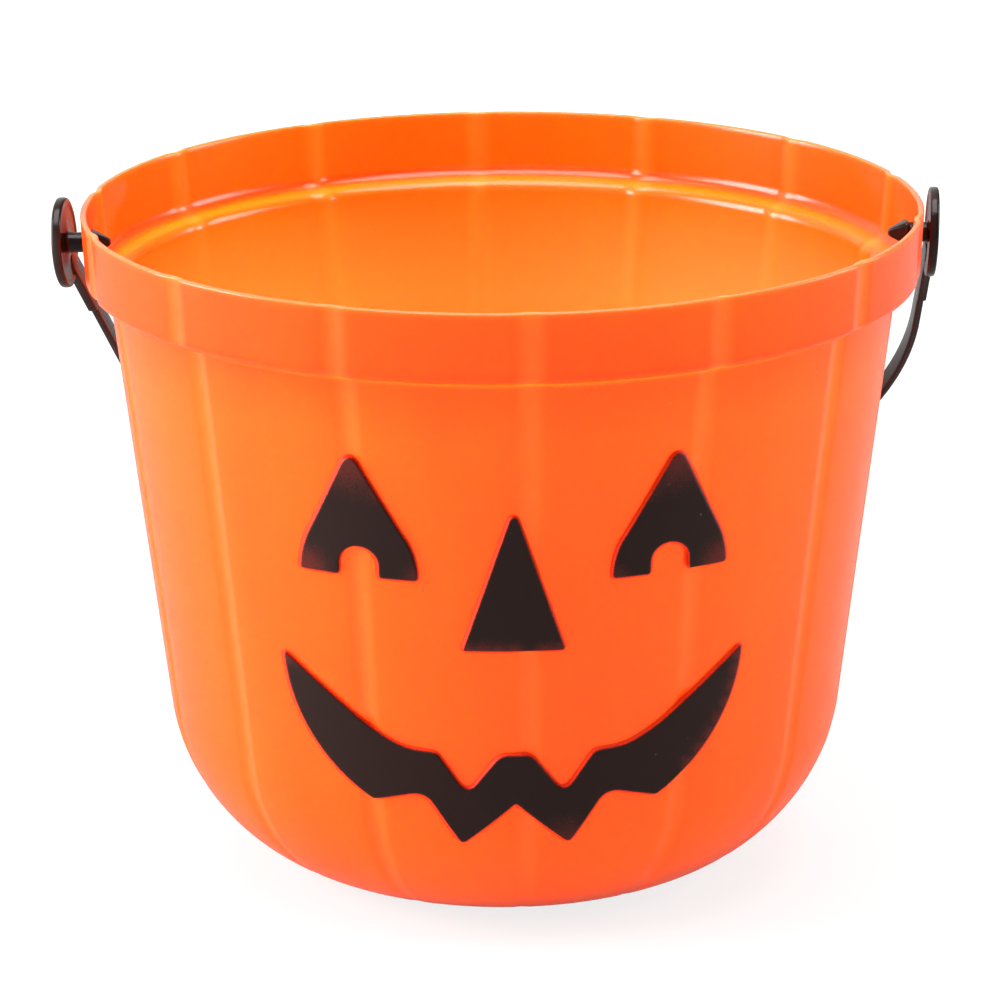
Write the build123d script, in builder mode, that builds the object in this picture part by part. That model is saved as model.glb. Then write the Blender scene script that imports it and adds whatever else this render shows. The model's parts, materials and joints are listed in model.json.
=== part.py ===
from build123d import *
import os
from math import cos, hypot, pi, radians, sin, sqrt, tan

# Pumpkin candy pail, in millimetres and degrees.
# Origin at the centre of the base, +Z up, the face looks towards -Y, the handle pins lie along X.

# Pail shell
pail_height = 172.8
rim_radius = 108.3
wall = 1.6
band_height = 18.2              # rim down to the middle of the ledge
band_draft = 0.8                # radius that the band loses on its way down
ledge_step = 6.1                # how far the band stands out over the body
ledge_height = 5.0              # rounded corners of the ledge, from body to band
ledge_flatness_share = 0.75     # 0 is a slanting ledge, 1 a level one
body_narrowing = 13.1           # radius that the body loses between the ledge and the rounded bottom
bottom_round_height = 41.0
bottom_round_width = 40.3
bottom_fullness_share = 0.65    # weight of the conic that rounds the bottom
standing_ring_width = 10.0
recess_depth = 1.6              # hollow under the middle of the base

# Lobes of the pumpkin
lobe_count = 14
lobe_turn = 1.9                 # the front groove stands this far to the right of the nose
groove_angle = 4.8              # width of a groove, seen from the axis
groove_depth = 1.0
valley_reach_share = 6 / 16     # of its middle control point's depth that a five-point curve reaches

# Face
relief = 0.8                    # height of the moulded plateaus
paint = 0.3                     # paint film on them
eye_spacing = 75.8              # between the middles of the two eyes
eye_bottom = 102.3
eye_width = 28.2
eye_height = 32.8               # to the tip before it is rounded
eye_tip_radius = 1.3
eye_notch_width = 9.8
eye_notch_height = 7.9
nose_bottom = 84.2
nose_side = -0.4                # the nose stands a little to the left
nose_width = 24.5
nose_height = 37.2              # to the tip before it is rounded
nose_tip_radius = 0.9
mouth_bottom = 30.9
mouth_width = 113.2
mouth_height = 48.6
# Eye outline from its lower inner corner, shares of its width and height
eye_tip_share = (0.574, 1.0)
eye_inner_bend_shares = ((0.13, 0.354), (0.03, 0.182))
eye_outer_bend_shares = ((0.97, 0.191), (0.9, 0.354))
# Mouth outline from its middle to its right tip, shares of half its width and of its height
mouth_peak_share = (0.0, 0.248)
mouth_tooth_share = (0.234, 0.0)
mouth_lower_lip_shares = ((0.396, 0.286), (0.606, 0.228))
mouth_outer_curve_share = (0.866, 0.524)
mouth_tip_share = (1.0, 1.0)
mouth_upper_curve_share = (0.721, 0.705)
mouth_upper_lip_shares = ((0.459, 0.541), (0.352, 0.522))
mouth_gap_share = (0.212, 0.323)
mouth_crown_share = (0.057, 0.51)

# Handle
pin_drop = 8.7                  # rim down to the pin axis
pin_radius = 2.6
pin_clearance = 0.4
barb_radius = 3.4
barb_tip_radius = 1.8
barb_length = 5.0
left_barb_gap = 1.0             # inside of the rim to the barb
right_barb_gap = 2.0
disc_radius = 11.7
disc_thickness = 2.8
disc_round = 0.9
left_disc_gap = 4.3             # outside of the rim to the disc, the handle being pushed to the left
right_disc_gap = 2.0
strap_thickness = 1.85
strap_width = 5.4
strap_inset = 0.4               # how far the strap stands inside a disc's inner face
strap_rest_gap = 0.5            # left between the strap and the back of the pail
leg_length = 38.8               # straight part of the strap
leg_lean = 7.1                  # both legs lean in
leg_sway = 6.5                  # the strap hangs to the right, so the left leg leans in more
tab_length = 16.2               # thick end of the strap below the disc
tab_thickness = 0.5             # added on the outside of the strap
tab_width = 6.4

overrun = 5.0

body_top = pail_height - band_height - ledge_height / 2
band_low_radius = rim_radius - band_draft
body_top_radius = band_low_radius - ledge_step
body_low_radius = body_top_radius - body_narrowing
base_radius = body_low_radius - bottom_round_width
recess_radius = base_radius - standing_ring_width
body_slope = (body_top_radius - body_low_radius) / (body_top - bottom_round_height)
pin_height = pail_height - pin_drop
left_disc_face = rim_radius + left_disc_gap
right_disc_face = rim_radius + right_disc_gap
left_barb_face = rim_radius - wall - left_barb_gap
right_barb_face = rim_radius - wall - right_barb_gap


def bottom_points(lift):
    """Control points (radius, height) of the conic that rounds the bottom, skin raised by lift."""
    low_radius = body_low_radius + lift
    corner_radius = low_radius - body_slope * bottom_round_height
    return (base_radius, -lift), (corner_radius, -lift), (low_radius, bottom_round_height)


def bottom_levels(lift):
    """Height, radius and groove depth along the rounded bottom, the grooves fading towards the base."""
    (r0, z0), (r1, z1), (r2, z2) = bottom_points(lift)
    levels = []
    steps = 8
    for step in range(steps + 1):
        t = step / steps
        a, b, c = (1 - t) ** 2, 2 * bottom_fullness_share * t * (1 - t), t**2
        height = (a * z0 + b * z1 + c * z2) / (a + b + c)
        radius = (a * r0 + b * r1 + c * r2) / (a + b + c)
        levels.append((height, radius, groove_depth * t * (2 - t)))
    return levels


def ledge_levels(lift):
    """Height, radius and groove depth over the ledge, an S curve between body and band."""
    step_out = band_low_radius - body_top_radius
    levels = []
    steps = 8
    for step in range(steps + 1):
        t = step / steps
        rise = t + ledge_flatness_share * sin(2 * pi * t) / (2 * pi)
        height = body_top - lift + ledge_height * rise
        radius = body_top_radius + lift + step_out * (1 - cos(pi * t)) / 2
        levels.append((height, radius, groove_depth))
    return levels


def lobed_face(height, radius, depth):
    """Level section: arcs round the axis, joined by soft grooves of the form (1 - u^2)^2."""
    pitch = 360 / lobe_count
    quarter = groove_angle / 4
    shoulder = radius / cos(radians(quarter))
    valley = radius - depth / valley_reach_share
    with BuildSketch(Plane.XY.offset(height)) as section:
        with BuildLine():
            for lobe in range(lobe_count):
                middle = lobe_turn + lobe * pitch - 90
                reach = ((-2, radius), (-1, shoulder), (0, valley), (1, shoulder), (2, radius))
                Bezier(*[Vector(r, 0).rotate(Axis.Z, middle + quarter * side) for side, r in reach])
                CenterArc((0, 0), radius, middle + 2 * quarter, pitch - groove_angle)
        make_face()
    return section.sketch.face()


def skin_stages(lift):
    """The shell's skin, raised by lift, as stacks of level sections from the base to the rim."""
    bottom = bottom_levels(lift)
    ledge = ledge_levels(lift)
    rim = (pail_height, rim_radius + lift, groove_depth)
    stacks = (bottom, (bottom[-1], ledge[0]), ledge, (ledge[-1], rim))
    return [[lobed_face(*level) for level in stack] for stack in stacks]


def smooth_skin(lift):
    """Body without grooves, base to ledge, its skin raised by lift, as a solid of revolution."""
    base, corner, low = bottom_points(lift)
    top = (body_top_radius + lift, body_top)
    with BuildPart() as skin:
        with BuildSketch(Plane.XZ):
            with BuildLine():
                Line((0, base[1]), base)
                Bezier(base, corner, low, weights=[1, bottom_fullness_share, 1])
                Line(low, top)
                Line(top, (0, body_top))
                Line((0, body_top), (0, base[1]))
            make_face()
        revolve(axis=Axis.Z)
    return skin.part


def right_eye_outline():
    """Triangle with flared lower corners and an arched notch in its lower edge."""
    left = (eye_spacing - eye_width) / 2
    notch_side = eye_spacing / 2 - eye_notch_width / 2
    notch_spring = eye_bottom + eye_notch_height - eye_notch_width / 2

    def at(share):
        return left + share[0] * eye_width, eye_bottom + share[1] * eye_height

    with BuildSketch(Plane.XZ) as outline:
        with BuildLine():
            inner_start, inner_middle = [at(share) for share in eye_inner_bend_shares]
            inner_side = Line(at(eye_tip_share), inner_start)
            inner_bend = ThreePointArc(inner_side @ 1, inner_middle, at((0, 0)))
            to_notch = Line(inner_bend @ 1, (notch_side, eye_bottom))
            notch_in = Line(to_notch @ 1, (notch_side, notch_spring))
            arch = ThreePointArc(
                notch_in @ 1,
                (eye_spacing / 2, eye_bottom + eye_notch_height),
                (notch_side + eye_notch_width, notch_spring),
            )
            notch_out = Line(arch @ 1, (notch_side + eye_notch_width, eye_bottom))
            to_corner = Line(notch_out @ 1, at((1, 0)))
            outer_middle, outer_end = [at(share) for share in eye_outer_bend_shares]
            outer_bend = ThreePointArc(to_corner @ 1, outer_middle, outer_end)
            Line(outer_bend @ 1, at(eye_tip_share))
        make_face()
        fillet(outline.vertices().sort_by(Axis.Y)[-1], radius=eye_tip_radius)
    return outline.sketch


def nose_outline():
    """Tall triangle with a rounded tip."""
    with BuildSketch(Plane.XZ) as outline:
        with BuildLine():
            Polyline(
                (nose_side - nose_width / 2, nose_bottom),
                (nose_side + nose_width / 2, nose_bottom),
                (nose_side, nose_bottom + nose_height),
                close=True,
            )
        make_face()
        fillet(outline.vertices().sort_by(Axis.Y)[-1], radius=nose_tip_radius)
    return outline.sketch


def mouth_outline():
    """Grin with two teeth hanging below it and two gaps cut into its upper edge."""

    def at(share):
        return share[0] * mouth_width / 2, mouth_bottom + share[1] * mouth_height

    with BuildSketch(Plane.XZ) as outline:
        with BuildLine():
            lower_lip = [at(share) for share in mouth_lower_lip_shares]
            teeth = Polyline(at(mouth_peak_share), at(mouth_tooth_share), *lower_lip)
            lower_curve = ThreePointArc(teeth @ 1, at(mouth_outer_curve_share), at(mouth_tip_share))
            lip_start, lip_end = [at(share) for share in mouth_upper_lip_shares]
            upper_curve = ThreePointArc(lower_curve @ 1, at(mouth_upper_curve_share), lip_start)
            upper_lip = Line(upper_curve @ 1, lip_end)
            crown = at(mouth_crown_share)
            gap = Polyline(upper_lip @ 1, at(mouth_gap_share), crown, (0, crown[1]))
            Line(gap @ 1, teeth @ 0)
        make_face()
        mirror(about=Plane.YZ)
    return outline.sketch


right_eye_shape = right_eye_outline()
face_shapes = {
    "left_eye": mirror(right_eye_shape, about=Plane.YZ),
    "right_eye": right_eye_shape,
    "nose": nose_outline(),
    "mouth": mouth_outline(),
}
plateau_skin = smooth_skin(relief)
paint_skin = smooth_skin(relief + paint)

os.makedirs("parts", exist_ok=True)

# Pail: outer skin, face plateaus, inside, floor, pin holes
with BuildPart() as plateaus:
    for shape in face_shapes.values():
        extrude(shape, amount=rim_radius)
    add(plateau_skin, mode=Mode.INTERSECT)

with BuildPart() as pail_body:
    for stack in skin_stages(0):
        loft(stack)
    add(plateaus.part)
    for stack in skin_stages(-wall):
        loft(stack, mode=Mode.SUBTRACT)
    floor_place = (Align.CENTER, Align.CENTER, Align.MIN)
    Cone(recess_radius + 2 * wall, recess_radius + wall, recess_depth + wall, align=floor_place)
    Cone(recess_radius, recess_radius - recess_depth, recess_depth, align=floor_place, mode=Mode.SUBTRACT)
    with BuildSketch(Plane.YZ):
        with Locations((0, pin_height)):
            Circle(pin_radius + pin_clearance)
    extrude(amount=rim_radius + overrun, both=True, mode=Mode.SUBTRACT)
pail_body.part.label = "pail_body"
export_step(pail_body.part, "parts/pail_body.step")

# Paint: a film over each plateau
for name, shape in face_shapes.items():
    with BuildPart() as film:
        extrude(shape, amount=rim_radius)
        add(paint_skin, mode=Mode.INTERSECT)
        add(plateau_skin, mode=Mode.SUBTRACT)
    film.part.label = name
    export_step(film.part, f"parts/{name}.step")

# Handle: strap, tabs, discs, pins and barbs as one moulding, hanging behind the pail.
# Its middle line lies in a plane through the pin axis: two straight legs and the arc that they touch.
left_top = left_disc_face - strap_inset + strap_thickness / 2
right_top = right_disc_face - strap_inset + strap_thickness / 2
left_slope = tan(radians(leg_lean + leg_sway))
right_slope = tan(radians(leg_lean - leg_sway))
legs_meet_down = (left_top + right_top) / (left_slope + right_slope)
legs_meet_side = left_slope * legs_meet_down - left_top
right_leg_reach = hypot(right_top - legs_meet_side, legs_meet_down)
bend_radius = (right_leg_reach - leg_length) * tan(radians(leg_lean))
bend_distance = bend_radius / sin(radians(leg_lean))
bend_side = legs_meet_side - bend_distance * sin(radians(leg_sway))
bend_down = legs_meet_down - bend_distance * cos(radians(leg_sway))


def body_radius(height):
    """Radius of the lobes at a height, on the straight wall or on the rounded bottom."""
    if height >= bottom_round_height:
        return body_low_radius + body_slope * (height - bottom_round_height)
    (r0, _), (r1, _), (r2, _) = bottom_points(0)
    rise = max(height, 0) / bottom_round_height
    pull = bottom_fullness_share * rise
    x = (pull + sqrt(pull**2 + rise * (1 - rise))) / (1 - rise)
    weight = 2 * bottom_fullness_share * x
    return (r0 + weight * r1 + x**2 * r2) / (1 + weight + x**2)


def strap_gap(angle):
    """Least gap between the body and the strap's lower inner edge, the strap at an angle below level."""
    dip, level = sin(radians(angle)), cos(radians(angle))
    reach = bend_radius - strap_thickness / 2
    gaps = []
    for turn in range(-60, 61, 2):
        side = bend_side + reach * sin(radians(turn))
        down = bend_down + reach * cos(radians(turn))
        back = down * level - strap_width / 2 * dip
        height = pin_height - down * dip - strap_width / 2 * level
        gaps.append(hypot(side, back) - body_radius(height))
    return min(gaps)


# The strap swings down until it rests against the back of the pail
clear_angle, blocked_angle = 0, 90
for halving in range(40):
    middle_angle = (clear_angle + blocked_angle) / 2
    if strap_gap(middle_angle) > strap_rest_gap:
        clear_angle = middle_angle
    else:
        blocked_angle = middle_angle
hang = radians(clear_angle)
hang_plane = Plane(origin=(0, 0, pin_height), x_dir=(1, 0, 0), z_dir=(0, sin(hang), cos(hang)))
tab_start = disc_radius / 2
tab_end = disc_radius + tab_length
left_end = (-1, left_top, left_slope, left_disc_face, left_barb_face)
right_end = (1, right_top, right_slope, right_disc_face, right_barb_face)

with BuildPart() as handle:
    with BuildSketch(hang_plane):
        with BuildLine():
            FilletPolyline(
                (-left_top, 0),
                (legs_meet_side, legs_meet_down),
                (right_top, 0),
                radius=bend_radius,
            )
        trace(line_width=strap_thickness)
    extrude(amount=strap_width / 2, both=True)
    for side, strap_top, slope, disc_face, barb_face in (left_end, right_end):
        strap_face = strap_top + strap_thickness / 2
        tab_face = strap_face + tab_thickness
        outward = Plane(origin=(0, 0, pin_height), x_dir=(0, 1, 0), z_dir=(side, 0, 0))
        with BuildSketch(outward.offset(disc_face)):
            Circle(disc_radius)
        extrude(amount=disc_thickness)
        disc_circles = handle.edges(Select.LAST).filter_by(GeomType.CIRCLE).sort_by(Axis.X)
        fillet(disc_circles[0 if side < 0 else -1], radius=disc_round)
        with BuildSketch(hang_plane):
            with BuildLine():
                Polyline(
                    (side * (strap_top - slope * tab_start), tab_start),
                    (side * (strap_top - slope * tab_end), tab_end),
                    (side * (strap_face - slope * tab_end), tab_end),
                    (side * (tab_face - slope * tab_end), tab_end - tab_thickness),
                    (side * (tab_face - slope * tab_start), tab_start),
                    close=True,
                )
            make_face()
        extrude(amount=tab_width / 2, both=True)
        with BuildSketch(outward.offset(barb_face)):
            Circle(pin_radius)
        extrude(amount=disc_face - barb_face)
        with BuildSketch(outward.offset(barb_face)):
            Circle(barb_radius)
        with BuildSketch(outward.offset(barb_face - barb_length)):
            Circle(barb_tip_radius)
        loft()
handle.part.label = "handle"
export_step(handle.part, "parts/handle.step")
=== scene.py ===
import json
from math import asin, atan2, cos, hypot, pi, radians, sin, tan

import bpy
import numpy as np
from bpy.props import FloatProperty, FloatVectorProperty, IntProperty, PointerProperty
from mathutils import Matrix, Vector
from mathutils.geometry import delaunay_2d_cdt


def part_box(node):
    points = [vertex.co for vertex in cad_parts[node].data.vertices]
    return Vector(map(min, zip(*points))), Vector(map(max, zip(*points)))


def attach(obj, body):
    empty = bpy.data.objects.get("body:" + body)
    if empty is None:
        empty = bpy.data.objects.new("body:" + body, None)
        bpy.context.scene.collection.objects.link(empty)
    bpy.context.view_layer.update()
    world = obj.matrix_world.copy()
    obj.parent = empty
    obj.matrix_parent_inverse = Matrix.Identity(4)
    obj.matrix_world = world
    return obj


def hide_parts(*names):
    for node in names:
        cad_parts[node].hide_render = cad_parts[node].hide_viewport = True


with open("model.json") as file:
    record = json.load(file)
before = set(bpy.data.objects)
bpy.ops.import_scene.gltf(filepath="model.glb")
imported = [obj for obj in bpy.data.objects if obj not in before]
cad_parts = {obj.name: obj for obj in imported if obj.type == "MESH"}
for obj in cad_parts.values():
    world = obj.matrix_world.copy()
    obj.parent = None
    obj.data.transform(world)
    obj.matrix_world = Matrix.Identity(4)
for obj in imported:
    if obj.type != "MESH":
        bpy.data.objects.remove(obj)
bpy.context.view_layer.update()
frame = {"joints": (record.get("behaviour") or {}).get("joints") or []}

bl_info = {
    "name": "Pumpkin Candy Pail",
    "version": (1, 0, 0),
    "blender": (4, 5, 0),
    "location": "View3D > Sidebar > Pail",
    "description": "Dresses the packed pail: lobed shell, painted face, strap handle and a pale studio",
    "category": "Add Mesh",
}

# Lengths are metres, like the frame's. MM turns the sizes of the properties below from millimetres.
MM = 0.001
PAIL_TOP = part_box("pail_body")[1]
HANDLE_LOW, HANDLE_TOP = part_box("handle")
PIN_HEIGHT = frame["joints"][0]["pos_m"][2]

# Right eye from its lower inner corner, shares of its width and height
EYE_TIP_SHARE = (0.574, 1.0)
EYE_INNER_BEND_SHARES = ((0.13, 0.354), (0.03, 0.182), (0.0, 0.0))
EYE_OUTER_BEND_SHARES = ((1.0, 0.0), (0.97, 0.191), (0.9, 0.354))
# Right half of the mouth from its middle, shares of half its width and of its height
MOUTH_LOWER_SHARES = ((0.0, 0.248), (0.234, 0.0), (0.396, 0.302), (0.62, 0.228))
MOUTH_OUTER_CURVE_SHARES = ((0.62, 0.228), (0.866, 0.505), (1.0, 0.975))
MOUTH_UPPER_SHARES = (
    (1.0, 0.975), (0.54, 0.538), (0.345, 0.519), (0.212, 0.287), (0.068, 0.512), (0.0, 0.512),
)
# Section of a plateau's edge: millimetres in from the outline, and height from the skin to the plateau
EDGE_ROWS = (
    (-1.0, -0.08), (-0.7, 0.0), (-0.5, 0.08), (-0.36, 0.3), (-0.24, 0.62), (-0.1, 0.86),
    (0.1, 0.97), (0.35, 1.0), (0.7, 1.0),
)
# Thin places of the paint: side and height as shares of the shape, reach in millimetres and strength
EYE_THIN = ((*EYE_TIP_SHARE, 13, 0.9), (0.34, 0.7, 6, 0.6), (0.0, 0.0, 6, 0.65), (1.0, 0.0, 8, 0.95))
NOSE_THIN = tuple((side, -0.0267, 4, 0.9) for side in (-0.45, -0.3, -0.15, 0.0, 0.3, 0.45))
MOUTH_THIN = ((-1.0, 1.0, 6, 0.9), (0.23, 0.0, 10, 0.7))
# The same along the grin's outer edge: which of its points, reach in millimetres and strength
GRIN_THIN_POINTS, GRIN_THIN_REACH, GRIN_THIN_STRENGTH = slice(10, None, 4), 3.5, 0.8

# The shell's mesh: rows along the parts of its profile, columns across a groove and a lobe
BOTTOM_ROWS, BODY_ROWS, LEDGE_ROWS, BAND_TOP_ROWS, LIP_ROWS, SKIN_ROWS = 30, 9, 22, 4, 6, 200
GROOVE_COLUMNS, LOBE_COLUMNS = 13, 10
# Its fine patch round a pin hole: steps across, steps from the middle to the hole's edge, and how much
# wider than the patch the gap between the columns beside it is
PATCH_STEPS, HOLE_STEPS, PATCH_MARGIN = 16, 4, 1.15
# Innermost row of the base, as a share of the hollow's radius
BASE_MIDDLE_SHARE = 0.3
# Sections of the profile that are the band's outside and inside
OUTER_BAND, INNER_BAND = 4, 6
# The face's mesh: points on a curve and on a rounded corner of the mouth, and how much of the room to the
# other side an edge may take up
CURVE_STEPS, CORNER_STEPS, EDGE_ROOM_SHARE = 40, 12, 0.55
# The handle's mesh: rows on a leg, on the step at a tab's end and on the bow, points on a corner of the
# strap's section, columns of it that lie on an edge or a parting line, and columns round a disc
LEG_ROWS, TAB_STEP_ROWS, BOW_ROWS, ROUND_POINTS = 24, 15, 140, 5
EDGE_COLUMNS = (2, 5, 8, 13, 16, 19)
DISC_COLUMNS = 64
# Start of the strap as a share of a disc's radius, and length of a tab's end step in tab thicknesses
STRAP_START_SHARE, TAB_STEP = 0.45, 1.6
# Innermost row of a disc or a barb's tip, and the slopes of the dishes in a disc's two faces
MIDDLE_SHARE, OUTER_DISH_SHARES, INNER_DISH_SHARES = 0.4, (0.74, 0.8), (0.88, 0.84)
# Powers of the barb's section, round and squared off
ROUND_POWER, SQUARE_POWER = 2, 5
# Past these angles an edge is sharp
SHELL_CREASE, FACE_CREASE, HANDLE_CREASE = radians(40), radians(60), radians(35)
TINY = 1e-9

# Sockets of a mix node that take and give colours, and the room for a node on screen
MIX_FIRST, MIX_SECOND, MIX_RESULT = 6, 7, 2
NODE_WIDTH, NODE_HEIGHT = 220, 280
# Moulded plastic: upright stretch of its flow marks, roughness and height of a scratch, slow bumps
FLOW_STRETCH, SCRATCH_ROUGHNESS, SCRATCH_HEIGHT, SLOW_BUMPS = 0.16, 0.12, -0.4, 2.0
# Face paint: unevenness of its edge in millimetres and of its coat, depth of a full coat, roughness
SPECKLE, PATCHINESS, FULL_COAT, SATIN, SATIN_SPREAD = 0.5, 0.81, 1.05, 0.36, 0.16
# The floor: half its side, its tone under the object and where it is seen, and its glow in a mirror
FLOOR_HALF, FLOOR_TONE, FLOOR_SEEN_TONE, FLOOR_GLOW = 12.0, (0.8, 0.8, 0.8), (0.17, 0.17, 0.17), 0.15
# Soft boxes: name, place, size and whether reflections show them
SOFT_BOXES = (
    ("key", (-1.45, -0.06, 0.55), (0.9, 1.3), True),
    ("fill", (1.45, 0.2, 0.45), (0.7, 1.2), True),
    ("top", (0.0, -0.15, 1.7), (1.4, 1.2), True),
    ("back", (0.1, 1.4, 0.8), (1.4, 1.0), False),
)


def length(name, size, description):
    """A length property, its default given in millimetres."""
    return FloatProperty(name=name, description=description, default=size * MM, unit="LENGTH", precision=5)


def angle(name, degrees, description):
    """An angle property, its default given in degrees."""
    return FloatProperty(name=name, description=description, default=radians(degrees), subtype="ANGLE")


def share(name, value, description):
    """A plain number between nothing and all."""
    return FloatProperty(name=name, description=description, default=value, subtype="FACTOR", min=0, max=1)


def colour(name, rgb, description):
    """A linear colour property."""
    return FloatVectorProperty(
        name=name, description=description, default=rgb, subtype="COLOR", min=0, max=1
    )


def power(name, watts, description):
    """A lamp's power."""
    return FloatProperty(name=name, description=description, default=watts, unit="POWER")


class ShellSizes(bpy.types.PropertyGroup):
    """Sizes of the orange moulding"""

    rim_radius: length("Rim radius", PAIL_TOP.x / MM, "Outside of the rim")
    height: length("Height", PAIL_TOP.z / MM, "Base to rim")
    wall: length("Wall", 1.6, "Thickness of the moulding")
    lip_round: length("Lip rounding", 0.5, "Rounding of the rim's two edges")
    band_height: length("Band height", 18.2, "Rim down to the middle of the ledge")
    band_draft: length("Band draft", 0.8, "Radius that the band loses on its way down")
    ledge_step: length("Ledge step", 6.1, "How far the band stands out over the body")
    ledge_height: length("Ledge height", 5.0, "Rounded corners of the ledge, from body to band")
    ledge_flatness: share("Ledge flatness", 0.75, "0 is a slanting ledge, 1 a level one")
    shelf_drop: length("Shelf drop", 2.4, "How much lower the ledge starts on the inside")
    shelf_flatness: share("Shelf flatness", 0.5, "Flatness of the ledge on the inside")
    body_narrowing: length("Body narrowing", 13.1, "Radius lost between the ledge and the rounded bottom")
    bottom_height: length("Bottom rounding height", 41.0, "Base to the start of the straight wall")
    bottom_width: length("Bottom rounding width", 40.3, "Standing ring to the foot of the wall")
    bottom_fullness: share("Bottom fullness", 0.65, "Weight of the conic that rounds the bottom")
    ring_width: length("Standing ring width", 10.0, "Flat ring round the hollow under the base")
    recess_depth: length("Recess depth", 1.6, "Hollow under the base")
    floor_round: length("Floor rounding", 0.7, "Rounding of the steps in the base and the floor")
    lobes: IntProperty(name="Lobes", description="Upright lobes round the pail", default=14, min=3)
    lobe_turn: angle("Lobe turn", 1.9, "Front groove to the right of the nose")
    groove_width: angle("Groove width", 4.8, "Width of a groove, seen from the axis")
    groove_depth: length("Groove depth", 0.75, "Depth of a groove on the body")
    band_groove_depth: length("Band groove depth", 0.75, "Depth of a groove on the band")
    pin_hole: length("Pin hole radius", 3.0, "Hole in the band for a handle pin")
    hole_patch: length("Hole patch", 5.0, "Half the side of the fine mesh round a pin hole")
    warp: length("Warp", 0.12, "How far the thin wall strays from true")
    lip_wear: length("Lip wear", 0.5, "How far wear reaches down from the rim")
    foot_wear: length("Foot wear", 0.7, "How far wear reaches up from the base")
    # Painted shade: below the ledge, on the outside, the deep orange of the band fades out over this reach
    thick_blend: length("Thick blend", 14.0, "Below the ledge, where the deep orange of the band fades")
    # Painted sheen: how far below the ledge the inside grows paler
    milky_reach: length("Milky reach", 30.0, "Below the ledge, where the inside turns milky")


class FaceSizes(bpy.types.PropertyGroup):
    """Sizes of the raised and painted face"""

    relief: length("Relief", 1.1, "Height of the painted plateaus over the skin")
    corner_round: length("Corner rounding", 0.5, "Length over which the outlines are softened")
    outline_step: length("Outline step", 0.35, "Spacing of the points along an outline")
    fill_step: length("Fill step", 2.6, "Spacing of the points inside an outline")
    eye_spacing: length("Eye spacing", 75.8, "Between the middles of the two eyes")
    eye_bottom: length("Eye bottom", 102.3, "Height of the eyes over the base")
    eye_width: length("Eye width", 28.2, "Corner to corner")
    eye_height: length("Eye height", 32.8, "Lower edge to the sharp tip")
    eye_tip_round: length("Eye tip rounding", 1.7, "Radius of an eye's tip")
    notch_width: length("Notch width", 9.8, "Notch in the lower edge of an eye")
    notch_height: length("Notch height", 7.9, "Top of the notch over the lower edge")
    nose_bottom: length("Nose bottom", 84.2, "Height of the nose over the base")
    nose_side: length("Nose side", -0.4, "Middle of the nose beside the middle of the pail")
    nose_width: length("Nose width", 24.8, "Width of the nose's lower edge")
    nose_height: length("Nose height", 37.5, "Lower edge to the sharp tip")
    nose_tip_round: length("Nose tip rounding", 1.0, "Radius of the nose's tip")
    mouth_bottom: length("Mouth bottom", 30.6, "Height of the teeth over the base")
    mouth_width: length("Mouth width", 113.2, "Tip to tip")
    mouth_height: length("Mouth height", 48.6, "Teeth to tips")
    tooth_round: length("Tooth rounding", 1.2, "How far a tooth's rounding runs along its sides")
    grin_round: length("Grin rounding", 12.0, "How far the rounding of the upper side runs towards a tip")
    gap_round: length("Gap rounding", 4.0, "How far a gap's rounding runs along its sides")
    paint_slip: length("Paint slip", 0.2, "How far the coat of paint lies to the right of the plateaus")
    paint_lift: length("Paint lift", 0.1, "How far the coat of paint lies above the plateaus")


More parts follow.
